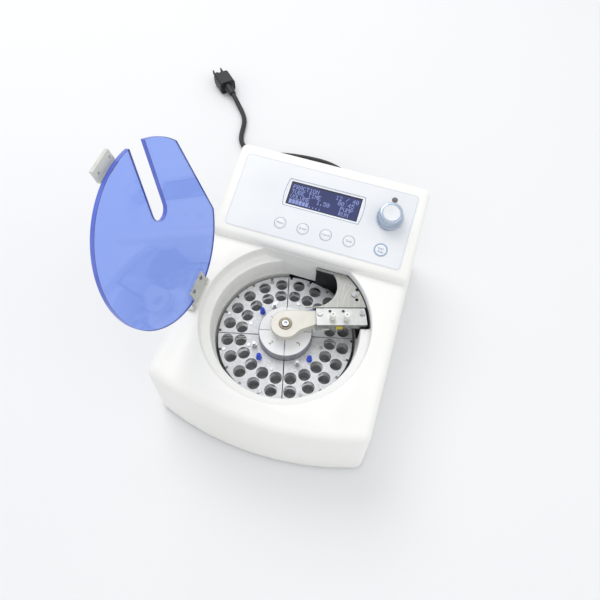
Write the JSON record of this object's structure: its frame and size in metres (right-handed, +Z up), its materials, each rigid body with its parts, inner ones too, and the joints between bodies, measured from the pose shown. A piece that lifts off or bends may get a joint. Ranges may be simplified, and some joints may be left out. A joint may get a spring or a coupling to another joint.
{
  "type": "fraction collector",
  "caption": "Bench-top cooled fraction collector: a round carousel of vial cassettes under a hinged tinted lid, with a needle arm, a sloping control panel and a mains cord.",
  "frame": {"origin": "on the axis of the carousel, at the height of the table that the rubber feet stand on", "axes": "+X to the operator's right, +Y from the operator to the rear, +Z up"},
  "size_m": [0.3658, 0.533, 0.2777],
  "materials": {
    "housing_plastic": "satin moulded",
    "zinc_steel": "zinc plated",
    "foot_rubber": "matt",
    "screw_steel": "satin",
    "black_liner": "matt black",
    "liner_grey": "satin pale grey",
    "stainless": "brushed stainless",
    "satin_aluminium": "satin",
    "dark_plastic": "matt black",
    "overlay_film": "printed film",
    "board_green": "circuit board",
    "display_glass": "clear",
    "lamp_lens": "tinted lens",
    "painted_rear": "powder coat",
    "knob_silver": "satin",
    "key_white": "satin",
    "blasted_aluminium": "bead blasted",
    "hub_grey": "anodised",
    "dial_white": "satin",
    "peg_blue": "blue",
    "arm_cream": "satin",
    "bush_bronze": "oiled bronze",
    "nipple_white": "natural",
    "lid_acrylic": "tinted acrylic",
    "cord_rubber": "satin black"
  },
  "bodies": {
    "base": {"housing": "housing_plastic", "base_plate": "zinc_steel", "feet": "foot_rubber", "case_screws": "screw_steel", "well_liner": "liner_grey", "pocket_liner": "black_liner", "bridge_plate": "stainless", "hinge_posts": "satin_aluminium", "hinge_pin": "stainless", "central_post": "stainless", "spindle_bearing": "zinc_steel", "lift_drive": "dark_plastic", "panel_overlay": "overlay_film", "display_module": "board_green", "display_window": "display_glass", "status_lamp": "lamp_lens", "knob_encoder": "dark_plastic", "rear_panel": "painted_rear", "mains_inlet": "dark_plastic", "fan_frame": "dark_plastic", "heat_sink": "satin_aluminium", "drive_motor": "painted_rear", "drive_belt": "cord_rubber", "control_board": "board_green", "power_supply": "zinc_steel", "mains_connector": "cord_rubber", "cord_lead": "cord_rubber", "cord_coil": "cord_rubber", "cord_tail": "cord_rubber", "mains_plug": "cord_rubber"},
    "motor_shaft": {"motor_pulley": "satin_aluminium"},
    "fan": {"fan_rotor": "dark_plastic"},
    "rocker": {"power_rocker": "dark_plastic"},
    "knob": {"control_knob": "knob_silver"},
    "key_a": {"key_1": "key_white"},
    "key_b": {"key_2": "key_white"},
    "key_c": {"key_3": "key_white"},
    "key_d": {"key_4": "key_white"},
    "key_start": {"start_key": "key_white"},
    "carousel": {"carousel_platter": "satin_aluminium", "carousel_pulley": "satin_aluminium", "cassette_1": "blasted_aluminium", "cassette_2": "blasted_aluminium", "cassette_3": "blasted_aluminium", "cassette_4": "blasted_aluminium", "carousel_hub": "hub_grey", "hub_dial": "dial_white", "cassette_fittings": "stainless", "blue_pegs": "peg_blue"},
    "arm": {"needle_arm": "arm_cream", "arm_bush": "bush_bronze", "needle_block": "satin_aluminium", "tube_nipples": "nipple_white", "needles": "stainless", "block_screws": "screw_steel", "lift_rod": "stainless"},
    "lid": {"lid_plate": "lid_acrylic", "lid_hinge_block": "satin_aluminium", "lid_screws": "screw_steel", "lid_handle": "satin_aluminium"}
  },
  "joints": [
    {"name": "carousel_spin", "type": "hinge", "parent": "base", "child": "carousel", "pos_m": [0, 0, 0], "axis": [0, 0, 1], "continuous": true},
    {"name": "motor_spin", "type": "hinge", "parent": "base", "child": "motor_shaft", "pos_m": [0, 0.099, 0], "axis": [0, 0, 1], "continuous": true},
    {"name": "arm_lift", "type": "slide", "parent": "base", "child": "arm", "axis": [0, 0, 1], "range_m": [0, 0.005]},
    {"name": "lid_hinge", "type": "hinge", "parent": "base", "child": "lid", "pos_m": [-0.0883, 0, 0.1075], "axis": [0, -1, 0], "range_deg": [-104.5, 0]},
    {"name": "knob_turn", "type": "hinge", "parent": "base", "child": "knob", "pos_m": [0.0695, 0.1279, 0.1299], "axis": [0, -0.2756, 0.9613], "continuous": true},
    {"name": "fan_spin", "type": "hinge", "parent": "base", "child": "fan", "pos_m": [-0.04, 0.165, 0.05], "axis": [0, 1, 0], "continuous": true},
    {"name": "rocker_tilt", "type": "hinge", "parent": "base", "child": "rocker", "pos_m": [0.062, 0.17, 0.062], "axis": [1, 0, 0], "range_deg": [-20, 0]},
    {"name": "key_1_press", "type": "slide", "parent": "base", "child": "key_a", "axis": [0, 0.2756, -0.9613], "range_m": [0, 0.0006], "stiffness_N_per_m": 400},
    {"name": "key_2_press", "type": "slide", "parent": "base", "child": "key_b", "axis": [0, 0.2756, -0.9613], "range_m": [0, 0.0006], "stiffness_N_per_m": 400},
    {"name": "key_3_press", "type": "slide", "parent": "base", "child": "key_c", "axis": [0, 0.2756, -0.9613], "range_m": [0, 0.0006], "stiffness_N_per_m": 400},
    {"name": "key_4_press", "type": "slide", "parent": "base", "child": "key_d", "axis": [0, 0.2756, -0.9613], "range_m": [0, 0.0006], "stiffness_N_per_m": 400},
    {"name": "start_key_press", "type": "slide", "parent": "base", "child": "key_start", "axis": [0, 0.2756, -0.9613], "range_m": [0, 0.0006], "stiffness_N_per_m": 400}
  ],
  "couplings": [
    {"joint": "motor_spin", "follows": "carousel_spin", "ratio": 4}
  ]
}
